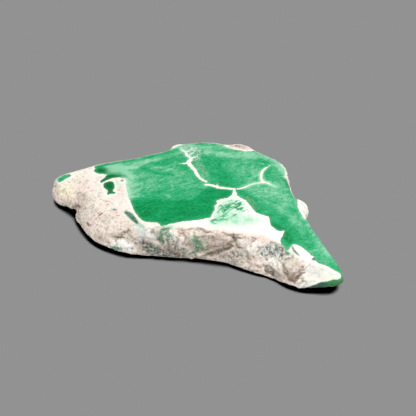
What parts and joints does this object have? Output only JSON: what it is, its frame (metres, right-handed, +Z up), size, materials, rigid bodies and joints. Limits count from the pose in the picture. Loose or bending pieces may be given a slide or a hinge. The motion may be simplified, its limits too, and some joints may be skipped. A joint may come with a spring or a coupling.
{
  "type": "variscite slice",
  "caption": "Slice of green variscite with a polished, gently domed face, white veins and a craggy cream matrix rind, resting on its flat sawn underside.",
  "frame": {"origin": "on the resting surface, under the middle of the stone's box", "axes": "+X along the stone's length, towards its pointed tip; +Y towards the rounded back edge; +Z up, out of the polished face"},
  "size_m": [0.0886, 0.0648, 0.0096],
  "materials": {
    "variscite_stone": "polished green face with cream matrix, rough natural rind on the flank"
  },
  "bodies": {
    "root": {"variscite_slice": "variscite_stone"}
  },
  "joints": []
}
